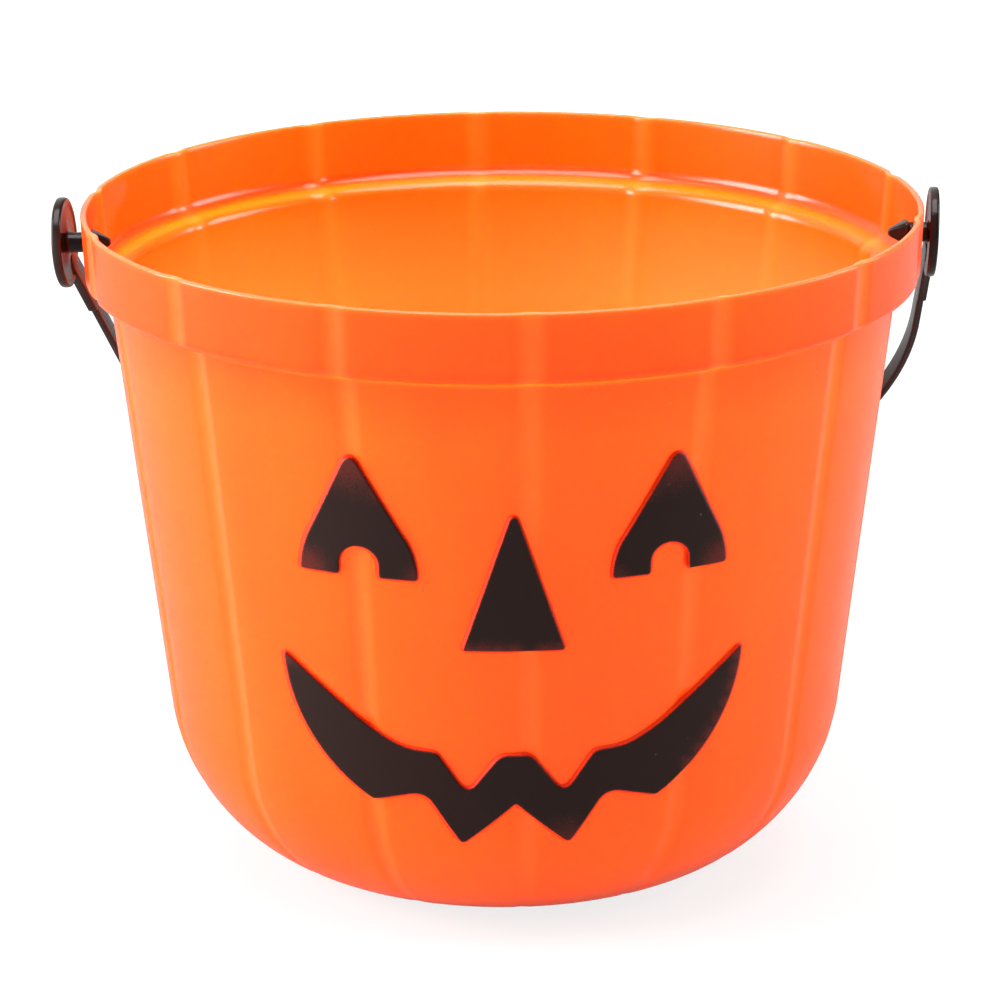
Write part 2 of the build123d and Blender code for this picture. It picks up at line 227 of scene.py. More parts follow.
class HandleSizes(bpy.types.PropertyGroup):
    """Sizes of the black strap handle"""

    pin_height: length("Pin height", PIN_HEIGHT / MM, "Pin axis over the base")
    pin_radius: length("Pin radius", 2.6, "Pin that turns in the band's hole")
    barb_radius: length("Barb radius", 3.4, "Widest part of the barbed head")
    barb_tip: length("Barb tip radius", 0.8, "Blunt end of the barbed head")
    barb_length: length("Barb length", 5.0, "Length of the barbed head")
    left_barb: length("Left barb place", 105.7, "Axis of the pail to the left barb's wide end")
    right_barb: length("Right barb place", 104.7, "Axis of the pail to the right barb's wide end")
    disc_radius: length("Disc radius", 11.62, "Round end of the handle")
    left_face: length("Left disc place", 112.6, "Axis of the pail to the left disc's inner face")
    right_face: length("Right disc place", 110.3, "Axis of the pail to the right disc's inner face")
    left_reach: length("Left disc reach", -HANDLE_LOW.x / MM, "Axis to the left disc's outermost point")
    right_reach: length("Right disc reach", HANDLE_TOP.x / MM, "Axis to the right disc's outermost point")
    disc_thickness: length("Disc thickness", 2.4, "Inner to outer face")
    left_turn: angle("Left disc turn", 7.2, "Front edge of the left disc swung outwards")
    right_turn: angle("Right disc turn", -3.6, "Front edge of the right disc swung outwards")
    left_lean: angle("Left disc lean", 3.6, "Top of the left disc tipped outwards")
    right_lean: angle("Right disc lean", 2.3, "Top of the right disc tipped outwards")
    left_rise: length("Left end rise", 0.05, "How far the left pin stands up in its hole")
    right_rise: length("Right end rise", -0.2, "How far the right pin stands up in its hole")
    disc_round: length("Disc rounding", 0.9, "Rounding of the disc's outer edge")
    disc_dish: length("Disc dish", 0.3, "Hollow in both faces of a disc")
    edge_wear: length("Edge wear", 0.6, "How far wear reaches in from a disc's edge")
    barb_blend: length("Barb blend", 0.4, "How far outside the barb its section is still squared")
    bend_start: length("Bend start", 3.0, "Outside the barb, where a pin starts to bend")
    strap_thickness: length("Strap thickness", 1.85, "Inner to outer face of the strap")
    strap_width: length("Strap width", 5.4, "Edge to edge of the strap")
    strap_round: length("Strap rounding", 0.35, "Rounding of the strap's long edges")
    strap_draft: length("Strap draft", 0.12, "How far the narrow edges stand out at the parting line")
    strap_inset: length("Strap inset", 0.4, "How far the strap stands inside a disc's inner face")
    leg_length: length("Leg length", 38.8, "Straight part of the strap")
    leg_lean: angle("Leg lean", 7.1, "Both legs lean in")
    leg_sway: angle("Leg sway", 6.5, "The strap hangs to the right, so the left leg leans in more")
    tab_length: length("Tab length", 16.2, "Thick end of the strap below the disc")
    tab_thickness: length("Tab thickness", 0.5, "Added on the outside of the strap")
    tab_width: length("Tab width", 6.4, "Edge to edge of the thick end")


class Finishes(bpy.types.PropertyGroup):
    """Colours of the plastics and the paint"""

    orange: colour("Orange", (1.0, 0.106, 0.005), "The moulding's own colour")
    # Deep orange: the band's colour, and painted shade below the ledge
    deep_orange: colour("Deep orange", (1.0, 0.06, 0.0015), "Where the wall is thick")
    # Painted light: a paler orange along the grooves, standing in for light glowing through them
    thin_orange: colour("Thin orange", (1.0, 0.19, 0.03), "Where the wall is thin")
    # Painted sheen: a paler, milkier orange deep inside the pail
    milky_orange: colour("Milky orange", (1.0, 0.235, 0.075), "Deep inside the pail")
    scuffed_orange: colour("Scuffed orange", (1.0, 0.3, 0.1), "Paler rim and corners")
    handle_black: colour("Handle black", (0.014, 0.006, 0.005), "The handle's own colour")
    handle_grey: colour("Handle grey", (0.04, 0.03, 0.026), "Rubbed edges of the handle")
    # Painted shade: the bare sides of the plateaus, darker and redder than the orange
    edge_red: colour("Edge red", (0.9, 0.032, 0.0015), "Bare sides of the painted plateaus")
    paint_black: colour("Paint black", (0.02, 0.008, 0.006), "Full coat of face paint")
    paint_thin: colour("Thin paint", (0.1, 0.012, 0.008), "Face paint where the orange shows through")
    flow_share: share("Flow marks", 0.25, "How much deep orange the flow marks bring")
    # Share of deep orange on the band and in the painted shade below the ledge
    thick_share: share("Thick wall", 0.75, "How much deep orange the thick band has")
    # Share of the painted light along the grooves
    groove_share: share("Thin wall", 0.35, "How much thin orange the grooves have")
    wear_share: share("Wear", 0.2, "How much paler worn edges are")


class StageSettings(bpy.types.PropertyGroup):
    """Camera, lamps and floor"""

    distance: length("Camera distance", 1200.0, "Camera to the point that it looks at")
    lens: FloatProperty(
        name="Lens", description="Focal length on a 36 mm sensor", default=164.6, unit="CAMERA"
    )
    elevation: angle("Elevation", 17.57, "Camera above the horizon")
    roll: angle("Roll", -0.38, "Tilt of the camera about its own axis")
    yaw: angle("Yaw", -1.6, "Camera to the left of the face")
    aim_side: length("Aim, sideways", -1.02, "Point that the camera looks at")
    aim_height: length("Aim, height", 92.9, "Point that the camera looks at")
    key_power: power("Key", 53.0, "Soft box at the left")
    fill_power: power("Fill", 18.5, "Soft box at the right")
    top_power: power("Top", 30.5, "Soft box overhead")
    back_power: power("Back", 19.0, "Soft box behind")
    ambience: FloatProperty(name="Ambience", description="Even light from all round", default=0.25)


def grid_quads(rows, columns):
    """Corner numbers of a grid's quads, row after row; the last column joins the first."""
    i, j = np.meshgrid(np.arange(rows - 1), np.arange(columns), indexing="ij")
    right = (j + 1) % columns
    corners = (i * columns + j, i * columns + right, (i + 1) * columns + right, (i + 1) * columns + j)
    return np.stack(corners, axis=-1).reshape(-1, 4)


def pole_fan(first, columns, pole, last_row):
    """Triangles from one row of a closed grid to its pole."""
    ring = first + np.arange(columns)
    after = np.roll(ring, -1)
    pair = (ring, after) if last_row else (after, ring)
    return np.stack([*pair, np.full(columns, pole)], axis=-1)


def closed_grid(grid, start, end):
    """A grid of points that closes round, with one pole before its first row and one after its last."""
    rows, columns = grid.shape[:2]
    count = rows * columns
    points = np.concatenate([grid.reshape(-1, 3), [start, end]])
    fans = [
        pole_fan(0, columns, count, last_row=False),
        pole_fan(count - columns, columns, count + 1, last_row=True),
    ]
    return points, grid_quads(rows, columns), np.concatenate(fans)


def make_piece(name, points, faces, material, crease, **values):
    """A smooth mesh object, sharp past the crease angle, with one point attribute for each value."""
    mesh = bpy.data.meshes.new(name)
    mesh.from_pydata(points.tolist(), [], faces)
    mesh.shade_smooth()
    mesh.set_sharp_from_angle(angle=crease)
    for key, value in values.items():
        layer = mesh.attributes.new(key, "FLOAT", "POINT")
        layer.data.foreach_set("value", np.asarray(value, np.float32))
    mesh.materials.append(material)
    piece = bpy.data.objects.new(name, mesh)
    bpy.context.scene.collection.objects.link(piece)
    return piece


def rounded_line(corners, radius, steps=5):
    """A line through corners, each inner one replaced by a quadratic curve.

    It spans a radius either way, or half a side where that is less. Corners may have their own radii.
    """
    corners = np.array(corners, float)
    before, here, after = corners[:-2], corners[1:-1], corners[2:]

    def towards(other):
        away = other - here
        span = np.linalg.norm(away, axis=1, keepdims=True)
        return here + away * np.minimum(radius / span, 0.5)

    t = np.linspace(0, 1, steps)[None, :, None]
    start, end = towards(before)[:, None], towards(after)[:, None]
    bends = (1 - t) ** 2 * start + 2 * t * (1 - t) * here[:, None] + t**2 * end
    return np.concatenate([corners[:1], bends.reshape(-1, 2), corners[-1:]])


class Shell:
    """The pail's skin as formulas: a profile of radius and height, and grooves that repeat round it."""

    def __init__(self, sizes):
        self.sizes = s = sizes
        self.body_top = s.height - s.band_height - s.ledge_height / 2
        self.band_low_radius = s.rim_radius - s.band_draft
        self.body_top_radius = self.band_low_radius - s.ledge_step
        self.body_low_radius = self.body_top_radius - s.body_narrowing
        self.base_radius = self.body_low_radius - s.bottom_width
        self.recess_radius = self.base_radius - s.ring_width
        self.slope = s.body_narrowing / (self.body_top - s.bottom_height)

    def bottom(self, lift, steps):
        """Conic from the base to the foot of the wall: control points weighted 1, fullness and 1."""
        s = self.sizes
        low = self.body_low_radius + lift
        t = np.linspace(0, 1, steps)
        a, b, c = (1 - t) ** 2, 2 * s.bottom_fullness * t * (1 - t), t**2
        radius = a * self.base_radius + b * (low - self.slope * s.bottom_height) + c * low
        height = (a + b) * -lift + c * s.bottom_height
        return np.stack([radius / (a + b + c), height / (a + b + c), s.groove_depth * t * (2 - t)], axis=1)

    def body(self, lift, drop, steps):
        """Straight wall from the bottom's rounding to where the ledge starts."""
        s = self.sizes
        height = np.linspace(s.bottom_height, self.body_top - lift - drop, steps)
        radius = self.body_low_radius + lift + self.slope * (height - s.bottom_height)
        return np.stack([radius, height, np.full(steps, s.groove_depth)], axis=1)

    def ledge(self, lift, drop, flatness, steps):
        """S curve from body to band: the radius is a half cosine, the height runs slow in the middle."""
        s = self.sizes
        t = np.linspace(0, 1, steps)
        rise = t + flatness * np.sin(2 * pi * t) / (2 * pi)
        low = self.body_top - lift - drop
        low_radius = self.body_low_radius + lift + self.slope * (low - s.bottom_height)
        swing = (1 - np.cos(pi * t)) / 2
        radius = low_radius + (self.band_low_radius + lift - low_radius) * swing
        depth = s.groove_depth + (s.band_groove_depth - s.groove_depth) * swing
        return np.stack([radius, low + (s.ledge_height + drop) * rise, depth], axis=1)

    def band(self, lift, pin_height):
        """Band up to the lip, with evenly spaced levels across the pin holes."""
        s = self.sizes
        low = self.body_top - lift + s.ledge_height
        patch = pin_height + s.hole_patch * np.linspace(-1, 1, PATCH_STEPS + 1)
        above = np.linspace(patch[-1], s.height - s.lip_round, BAND_TOP_ROWS)[1:]
        height = np.concatenate([[(low + patch[0]) / 2], patch, above])
        grown = (height - low) / (s.height - low)
        radius = self.band_low_radius + lift + s.band_draft * grown
        return np.stack([radius, height, np.full(len(height), s.band_groove_depth)], axis=1)

    def skin_radius(self, height):
        """Radius of the lobes' crowns on the outside, at heights below the band."""
        line = np.concatenate([self.bottom(0, SKIN_ROWS), self.body(0, 0, 2)[1:]])
        return np.interp(height, line[:, 1], line[:, 0])

    def groove(self, turn):
        """1 in the middle of a groove, 0 on the lobes: (1 - u^2)^2 across the groove."""
        pitch = 2 * pi / self.sizes.lobes
        off = (turn + pi / 2 - self.sizes.lobe_turn + pitch / 2) % pitch - pitch / 2
        return np.clip(1 - (off / (self.sizes.groove_width / 2)) ** 2, 0, 1) ** 2

    def stray(self, turn, height):
        """Waves of a thin wall, 0 to 1, so that nothing stands outside the true shape.

        An oval that grows towards the rim, and three and seven lobes that wind as they rise.
        """
        rise = height / self.sizes.height
        oval, three, seven = 1.0, 0.6, 0.5
        waves = oval * np.sin(2 * turn + 0.7) * rise
        waves = waves + three * np.sin(3 * turn + 5 * rise) + seven * np.sin(7 * turn - 9 * rise)
        return 0.5 + waves / (2 * (oval + three + seven))

    def columns(self, pins):
        """Angles round the pail: close together in the grooves and beside the pins, wide on the lobes."""
        s = self.sizes
        pitch = 2 * pi / s.lobes
        middles = s.lobe_turn - pi / 2 + pitch * np.arange(s.lobes)
        half = s.groove_width / 2
        across = np.linspace(-half, half, GROOVE_COLUMNS)
        lobe = np.linspace(half, pitch - half, LOBE_COLUMNS)[1:-1]
        turns = (middles[:, None] + np.concatenate([across, lobe])[None, :]).ravel()
        turns = (turns + pi / 2) % (2 * pi) - pi / 2
        reach = s.hole_patch / s.rim_radius
        turns = turns[np.all(np.abs(turns[:, None] - pins[None, :]) > reach * PATCH_MARGIN, axis=1)]
        patches = pins[:, None] + reach * np.linspace(-1, 1, PATCH_STEPS + 1)[None, :]
        return np.sort(np.concatenate([turns, patches.ravel()]))


def lip_curve(shell):
    """Over the rim: an elliptic quarter, the flat top and another quarter, outside to inside."""
    s = shell.sizes
    t = np.linspace(0, pi / 2, LIP_ROWS)
    rise = s.height - s.lip_round * (1 - np.sin(t))
    outer = s.rim_radius - s.lip_round * (1 - np.cos(t))
    inner = s.rim_radius - s.wall + s.lip_round * (1 - np.cos(t))
    depth = np.full(len(t), s.band_groove_depth)
    return np.concatenate([
        np.stack([outer, rise, depth], axis=1)[1:],
        np.stack([inner, rise, depth], axis=1)[::-1][:-1],
    ])


def flat_steps(corners, radius):
    """A step in the base or the floor as profile rows with no groove."""
    line = rounded_line(corners, radius)
    return np.column_stack([line, np.zeros(len(line))])


def shell_surface(shell, pin_height):
    """The pail's skin: profile rows times angles, radius less groove and warp, with two round pin holes.

    Near a hole the square rings of the grid are drawn in to circles, and the faces inside are left out.
    """
    s = shell.sizes
    pins = np.array([0.0, pi])
    floor = s.recess_depth + s.wall
    hollow = shell.recess_radius - s.recess_depth
    centre = BASE_MIDDLE_SHARE * hollow
    under = [
        (centre, s.recess_depth),
        (hollow, s.recess_depth),
        (shell.recess_radius, 0),
        (shell.base_radius, 0),
    ]
    step = shell.recess_radius + s.wall
    inside = [(shell.base_radius, s.wall), (step + s.wall / 2, s.wall), (step, floor), (centre, floor)]
    sections = [
        flat_steps(under, s.floor_round)[:-1],
        shell.bottom(0, BOTTOM_ROWS),
        shell.body(0, 0, BODY_ROWS)[1:],
        shell.ledge(0, 0, s.ledge_flatness, LEDGE_ROWS)[1:],
        shell.band(0, pin_height),
        lip_curve(shell),
        shell.band(-s.wall, pin_height)[::-1],
        shell.ledge(-s.wall, s.shelf_drop, s.shelf_flatness, LEDGE_ROWS)[::-1],
        shell.body(-s.wall, s.shelf_drop, BODY_ROWS)[::-1][1:],
        shell.bottom(-s.wall, BOTTOM_ROWS)[::-1][1:],
        flat_steps(inside, s.floor_round)[1:],
    ]
    starts = np.cumsum([0] + [len(x) for x in sections])
    radius, height, depth = np.concatenate(sections).T
    turns = shell.columns(pins)
    turn = np.repeat(turns[None, :], len(radius), axis=0)
    level = np.repeat(height[:, None], len(turns), axis=1)

    # The band has one row below its patch, so these rows run through the middle of the pin holes
    half = PATCH_STEPS // 2
    middle_rows = [starts[OUTER_BAND] + 1 + half, starts[INNER_BAND + 1] - 2 - half]
    rows, columns = turn.shape
    quads = grid_quads(rows, columns)
    kept = np.ones(len(quads), bool)
    walls = []
    for pin in pins:
        column = int(np.argmin(np.abs(turns - pin)))
        loops = []
        for row, up in zip(middle_rows, (1, -1)):
            i = row + up * np.arange(-half, half + 1)
            j = column + np.arange(-half, half + 1)
            block = np.ix_(i, j)
            side = s.rim_radius * (turn[block] - pin)
            rise = level[block] - pin_height
            ring = np.maximum(np.abs(side), np.abs(rise))
            start = s.hole_patch * HOLE_STEPS / half
            square_share = np.clip((ring - start) / (s.hole_patch - start), 0, 1)
            radius_here = s.pin_hole + (s.hole_patch - s.pin_hole) * square_share
            span = np.maximum(np.hypot(side, rise), TINY)
            drawn = square_share + (1 - square_share) * radius_here / span
            turn[block] = pin + side * drawn / s.rim_radius
            level[block] = pin_height + rise * drawn
            inner = np.arange(half - HOLE_STEPS, half + HOLE_STEPS + 1)
            square = i[inner][:, None] * columns + j[inner][None, :]
            edges = square[0, :-1], square[:-1, -1], square[-1, :0:-1], square[:0:-1, 0]
            loops.append(np.concatenate(edges))
            lost = np.zeros(rows * columns, bool)
            lost[square.ravel()] = True
            kept &= ~lost[quads].all(axis=1)
        out, back = loops
        walls.append(np.stack([out, np.roll(out, -1), np.roll(back, -1), back], axis=1))

    reach = radius[:, None] - depth[:, None] * shell.groove(turn)
    reach = reach - s.warp * shell.stray(turn, level) * np.clip(level / s.bottom_height, 0, 1)
    grid = np.stack([reach * np.cos(turn), reach * np.sin(turn), level], axis=-1)
    points, _, fans = closed_grid(grid, (0, 0, s.recess_depth), (0, 0, floor))
    inside = np.append(np.repeat(np.arange(rows) >= starts[INNER_BAND], columns), [False, True])
    used = np.unique(np.concatenate([quads[kept].ravel(), fans.ravel()]))
    fresh = np.full(len(points), -1)
    fresh[used] = np.arange(len(used))
    faces = fresh[np.concatenate([quads[kept], *walls])].tolist() + fresh[fans].tolist()
    return points[used], faces, shell_marks(shell, points[used], inside[used])


def shell_marks(shell, points, inside):
    """Point attributes: worn lip and foot, deeper band with painted shade below the ledge, painted light in
    the grooves, painted sheen deep inside.
    """
    s = shell.sizes
    x, y, z = points.T
    lip = np.exp(-((z - s.height) / s.lip_wear) ** 2)
    foot = np.exp(-((z / s.foot_wear) ** 2)) * (np.hypot(x, y) > shell.recess_radius - s.recess_depth)
    # Deeper band; on the outside the deep orange runs on below the ledge as painted shade
    blend = np.where(inside, 0, s.thick_blend)
    thick = np.clip((z - shell.body_top + blend) / (s.ledge_height + blend), 0, 1)
    # Painted light: 1 along the grooves, fading out towards the base
    valley = shell.groove(np.arctan2(y, x)) * np.clip(z / s.bottom_height, 0, 1)
    # Painted sheen: the inside grows paler further below the ledge
    milky = inside * np.clip((shell.body_top - z) / s.milky_reach, 0, 1)
    return {"wear": np.clip(lip + foot, 0, 1), "thick": thick, "valley": valley, "milky": milky}


def straight(start, end, steps=CURVE_STEPS):
    """Evenly spaced points from start up to, but without, end."""
    t = np.linspace(0, 1, steps, endpoint=False)[:, None]
    return (1 - t) * np.array(start) + t * np.array(end)


def bend(start, through, end, steps=CURVE_STEPS):
    """Points of the circle through three points, from the first up to, but without, the last."""
    a, b, c = (complex(*p) for p in (start, through, end))
    w = (c - a) / (b - a)
    centre = (b - a) * (w - abs(w) ** 2) / (2j * w.imag) + a
    turn = np.angle((c - centre) / (a - centre))
    middle = np.angle((b - centre) / (a - centre))
    if not 0 < middle / turn < 1:
        turn -= 2 * pi * np.sign(turn)
    z = centre + (a - centre) * np.exp(1j * turn * np.linspace(0, 1, steps, endpoint=False))
    return np.stack([z.real, z.imag], axis=1)


def run(*points):
    """Straight lines from point to point, without the last point."""
    return np.concatenate([straight(a, b) for a, b in zip(points, points[1:])])


def tip_bend(before, tip, after, radius):
    """Start, middle and end of the arc that rounds a tip between two straight sides."""
    ways = np.array([before, after]) - np.array(tip)
    ways /= np.linalg.norm(ways, axis=1, keepdims=True)
    half = np.arccos(ways[0] @ ways[1]) / 2
    middle = ways.sum(axis=0) / np.linalg.norm(ways.sum(axis=0))
    start, end = tip + ways * radius / tan(half)
    return start, tip + middle * radius * (1 / sin(half) - 1), end


def eye_point(f, x, z):
    """Place on the right eye, given as shares of its size."""
    return (f.eye_spacing - f.eye_width) / 2 + x * f.eye_width, f.eye_bottom + z * f.eye_height


def nose_point(f, x, z):
    """Place on the nose, given as shares of its size."""
    return f.nose_side + x * f.nose_width, f.nose_bottom + z * f.nose_height


def mouth_point(f, x, z):
    """Place on the mouth, given as shares of half its width and of its height."""
    return x * f.mouth_width / 2, f.mouth_bottom + z * f.mouth_height


def eye_line(f):
    """Right eye, counter-clockwise: a triangle with flared lower corners and an arched notch below."""
    tip = eye_point(f, *EYE_TIP_SHARE)
    inner = [eye_point(f, *part) for part in EYE_INNER_BEND_SHARES]
    outer = [eye_point(f, *part) for part in EYE_OUTER_BEND_SHARES]
    notch = f.eye_spacing / 2 - f.notch_width / 2, f.eye_spacing / 2 + f.notch_width / 2
    spring = f.eye_bottom + f.notch_height - f.notch_width / 2
    crown = f.eye_spacing / 2, f.eye_bottom + f.notch_height
    blunt = tip_bend(outer[2], tip, inner[0], f.eye_tip_round)
    return np.concatenate([
        bend(*blunt),
        run(blunt[2], inner[0]),
        bend(*inner),
        run(inner[2], (notch[0], f.eye_bottom), (notch[0], spring)),
        bend((notch[0], spring), crown, (notch[1], spring)),
        run((notch[1], spring), (notch[1], f.eye_bottom), outer[0]),
        bend(*outer),
        run(outer[2], blunt[0]),
    ])


def nose_line(f):
    """Nose, counter-clockwise: a tall triangle with a rounded tip."""
    left, right, tip = [nose_point(f, *part) for part in ((-0.5, 0), (0.5, 0), (0, 1))]
    blunt = tip_bend(right, tip, left, f.nose_tip_round)
    return np.concatenate([bend(*blunt), run(blunt[2], left, right, blunt[0])])


def grin_edge(f):
    """Outer edge of the mouth's right end, from below up to its tip."""
    return bend(*[mouth_point(f, *part) for part in MOUTH_OUTER_CURVE_SHARES])


def mouth_line(f):
    """Mouth, counter-clockwise: a grin with two teeth below and two gaps above, the same on both sides."""
    lower = [mouth_point(f, *part) for part in MOUTH_LOWER_SHARES]
    upper = [mouth_point(f, *part) for part in MOUTH_UPPER_SHARES]
    lower_rounds = np.array([[f.tooth_round], [f.gap_round]])
    upper_rounds = np.array([[f.grin_round], [f.tooth_round], [f.gap_round], [2 * f.tooth_round]])
    right = np.concatenate([
        rounded_line(lower, lower_rounds, CORNER_STEPS)[:-1],
        grin_edge(f),
        rounded_line(upper, upper_rounds, CORNER_STEPS)[:-1],
    ])
    return np.concatenate([right, mirrored(right)])


def mirrored(line):
    """A line across the middle of the face, turned round so that it still runs counter-clockwise."""
    return line[::-1] * np.array([-1, 1])


def soft_outline(line, step, softness):
    """A closed line, evenly spaced, its corners rounded by averaging with a bell curve along its length."""
    closed = np.concatenate([line, line[:1]])
    gone = np.concatenate([[0], np.cumsum(np.linalg.norm(np.diff(closed, axis=0), axis=1))])
    count = int(round(gone[-1] / step))
    places = np.arange(count) * gone[-1] / count
    even = np.stack([np.interp(places, gone, closed[:, k]) for k in (0, 1)], axis=1)
    turns = np.fft.fftfreq(count, gone[-1] / count)
    bell = np.exp(-2 * (pi * turns * softness) ** 2)[:, None]
    return np.fft.ifft(np.fft.fft(even, axis=0) * bell, axis=0).real


def inward(outline):
    """Unit normals of a counter-clockwise outline, and how far in each meets another side.

    The circle that touches the outline at p and runs through q has the radius |q - p|^2 / (2 (q - p) n).
    """
    along = np.roll(outline, -1, axis=0) - np.roll(outline, 1, axis=0)
    along /= np.linalg.norm(along, axis=1, keepdims=True)
    normal = np.stack([-along[:, 1], along[:, 0]], axis=1)
    apart = outline[None, :, :] - outline[:, None, :]
    facing = np.einsum("ijk,ik->ij", apart, normal)
    room = np.sum(apart**2, axis=2) / np.maximum(2 * facing, TINY)
    return normal, np.where(facing > TINY, room, np.inf).min(axis=1)


def plateau_surface(line, shell, face):
    """A raised plateau: rows of points along its outline, from the skin up to the top, which is filled.

    Points are laid out on the upright plane across the pail and pushed back onto its skin. The line is
    the edge of the paint, which has slipped a little on the plateau.
    """
    painted = soft_outline(line, face.outline_step, face.corner_round)
    outline = painted - np.array([face.paint_slip, face.paint_lift])
    normal, room = inward(outline)
    deepest = EDGE_ROWS[-1][0] * MM
    squeeze = np.minimum(1, EDGE_ROOM_SHARE * room / deepest)[:, None]
    rows = [outline + normal * d * MM * (squeeze if d > 0 else 1) for d, _ in EDGE_ROWS]
    border = rows[-1]
    low, high = border.min(axis=0), border.max(axis=0)
    x, z = np.meshgrid(*[np.arange(a, b, face.fill_step) for a, b in zip(low, high)])
    loose = np.stack([x.ravel(), z.ravel()], axis=1)
    count = len(border)
    gap = np.linalg.norm(loose[:, None] - border[None], axis=2)
    nearest = gap.argmin(axis=1)
    inside = np.einsum("ij,ij->i", loose - border[nearest], normal[nearest]) > 0
    loose = loose[inside & (gap.min(axis=1) > face.fill_step / 3)]
    seeds = [Vector(p) for p in np.concatenate([border, loose]).tolist()]
    inside_only = 1
    made = delaunay_2d_cdt(seeds, [], [list(range(count))], inside_only, TINY)
    triangles, origins = made[2:4]
    order = count * (len(rows) - 1) + np.array([ids[0] for ids in origins])
    flat = np.concatenate([*rows, loose])
    lift = np.append(np.repeat([w for _, w in EDGE_ROWS], count), np.ones(len(loose)))
    fill = [order[list(corners)].tolist() for corners in triangles]
    faces = grid_quads(len(rows), count).tolist() + fill
    side, height = flat.T
    skin = shell.skin_radius(height)
    turn = np.arctan2(-np.sqrt(skin**2 - side**2), side)
    base = skin - shell.sizes.groove_depth * shell.groove(turn)
    reach = (1 - lift) * base + lift * (skin + face.relief)
    reach = reach - shell.sizes.warp * shell.stray(turn, height)
    points = np.stack([side, -np.sqrt(reach**2 - side**2), height], axis=1)
    nearest = np.linalg.norm(flat[:, None] - painted[None], axis=2).argmin(axis=1)
    edge = np.einsum("ij,ij->i", flat - painted[nearest], normal[nearest])
    return points, faces, edge / MM


def thin_spots(points, spots):
    """How thin the coat is, 0 to 1: a bell curve round each spot (side, height, reach, strength)."""
    x, z, reach, strength = np.array(spots).T
    far = (points[:, :1] - x) ** 2 + (points[:, 2:] - z) ** 2
    return (strength * np.exp(-far / reach**2)).max(axis=1)


def placed(f, point, table):
    """Thin places of a coat as spots, their shares turned into places on a shape by its function."""
    return [(*point(f, x, z), reach * MM, strength) for x, z, reach, strength in table]


class Strap:
    """The strap's middle line in its own plane: two straight legs and the arc that they touch."""

    def __init__(self, sizes):
        self.sizes = h = sizes
        self.tops = [face - h.strap_inset + h.strap_thickness / 2 for face in (h.left_face, h.right_face)]
        self.slopes = tan(h.leg_lean + h.leg_sway), tan(h.leg_lean - h.leg_sway)
        meet_down = sum(self.tops) / sum(self.slopes)
        meet_side = self.slopes[0] * meet_down - self.tops[0]
        right_reach = hypot(self.tops[1] - meet_side, meet_down)
        self.radius = (right_reach - h.leg_length) * tan(h.leg_lean)
        away = self.radius / sin(h.leg_lean)
        self.centre = np.array([meet_side - away * sin(h.leg_sway), meet_down - away * cos(h.leg_sway)])
        lowest = self.centre[1] + self.radius + h.strap_thickness / 2
        drop = h.pin_height - HANDLE_LOW.z
        self.hang = asin(drop / hypot(lowest, h.strap_width / 2)) - atan2(h.strap_width / 2, lowest)

    def middle_line(self):
        """Points (side, down), outward normals and distance from the nearer pin, left end to right end."""
        h = self.sizes
        lean_left, lean_right = h.leg_lean + h.leg_sway, h.leg_lean - h.leg_sway
        normals = np.array([[-cos(lean_left), sin(lean_left)], [cos(lean_right), sin(lean_right)]])
        ends = self.centre + self.radius * normals
        tops = np.array([[-self.tops[0], 0.0], [self.tops[1], 0.0]])
        tab_end = h.disc_radius + h.tab_length
        start = STRAP_START_SHARE * h.disc_radius
        legs, turns = [], []
        for k in (0, 1):
            span = np.linalg.norm(ends[k] - tops[k])
            step = np.linspace(-TAB_STEP, TAB_STEP, TAB_STEP_ROWS) * h.tab_thickness
            places = np.unique(np.concatenate([np.linspace(start, span, LEG_ROWS), tab_end + step]))
            places = places[(places >= start) & (places <= span)]
            legs.append(tops[k] + (ends[k] - tops[k]) * places[:, None] / span)
            turns.append(np.repeat(normals[k][None], len(places), axis=0))
        t = np.linspace(pi - lean_left, lean_right, BOW_ROWS)[1:-1]
        arc_normal = np.stack([np.cos(t), np.sin(t)], axis=1)
        line = np.concatenate([legs[0], self.centre + self.radius * arc_normal, legs[1][::-1]])
        normal = np.concatenate([turns[0], arc_normal, turns[1][::-1]])
        gone = np.concatenate([[0], np.cumsum(np.linalg.norm(np.diff(line, axis=0), axis=1))])
        return line, normal, start + np.minimum(gone, gone[-1] - gone)

    def place(self, side, down, proud):
        """Side, distance down the hanging plane and distance out of it, in the pail's frame."""
        level, dip = cos(self.hang), sin(self.hang)
        return np.stack([
            side,
            down * level + proud * dip,
            self.sizes.pin_height - down * dip + proud * level,
        ], axis=-1)


